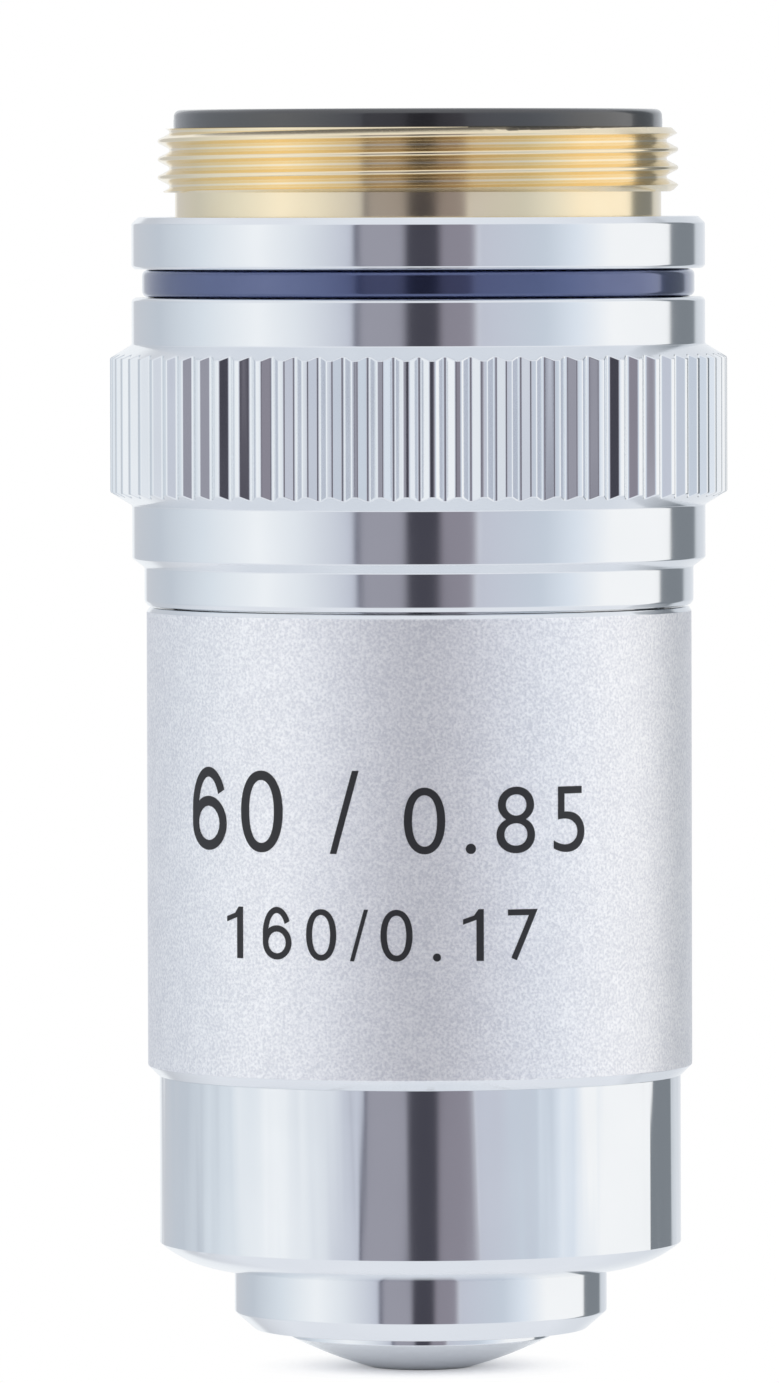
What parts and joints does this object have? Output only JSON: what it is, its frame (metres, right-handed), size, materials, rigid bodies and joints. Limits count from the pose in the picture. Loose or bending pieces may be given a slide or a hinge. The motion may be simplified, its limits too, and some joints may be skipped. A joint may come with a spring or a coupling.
{
  "type": "microscope objective",
  "caption": "Spring-loaded microscope objective: threaded brass bush, ridged chrome grip, satin barrel and a retracting nose with its lens stack.",
  "frame": {"origin": "centre of the shoulder face that seats against the nosepiece, on the optical axis", "axes": "+Z along the optical axis towards the thread, so the front lens points down; +Y through the guide screw, away from the printed numbers; +X to the right as seen from the numbers"},
  "size_m": [0.024, 0.024, 0.0489],
  "materials": {
    "black_anodised": "black anodised, semi-gloss",
    "brass": "turned and lacquered brass",
    "bright_chrome": "bright chrome plate over turned brass",
    "satin_chrome": "fine blasted satin chrome",
    "blue_enamel": "dark blue gloss enamel",
    "blackened_brass": "chemically blackened brass",
    "spring_steel": "drawn spring steel",
    "optical_glass": "polished and coated"
  },
  "bodies": {
    "housing": {"rear_baffle": "black_anodised", "thread_bush": "brass", "grip_body": "bright_chrome", "colour_ring": "blue_enamel", "spring_seat_ring": "blackened_brass", "main_spring": "spring_steel", "barrel_sleeve": "satin_chrome", "front_collar": "bright_chrome", "guide_screw": "spring_steel"},
    "nose_assembly": {"nose_barrel": "bright_chrome", "parfocal_ring": "brass", "parfocal_lock_ring": "brass", "front_cell": "bright_chrome", "front_lens": "optical_glass", "meniscus_cell": "blackened_brass", "meniscus_lens": "optical_glass", "front_doublet_cell": "blackened_brass", "front_doublet_flint": "optical_glass", "front_doublet_crown": "optical_glass", "front_spacer": "blackened_brass", "rear_doublet_cell": "blackened_brass", "rear_doublet_flint": "optical_glass", "rear_doublet_crown": "optical_glass", "rear_spacer": "blackened_brass", "aperture_stop": "black_anodised", "stack_lock_ring": "blackened_brass"}
  },
  "joints": [
    {"name": "nose_retract", "type": "slide", "parent": "housing", "child": "nose_assembly", "axis": [0, 0, 1], "range_m": [0, 0.003], "stiffness_N_per_m": 130, "springref_m": -0.01, "deforming": ["main_spring"]}
  ]
}
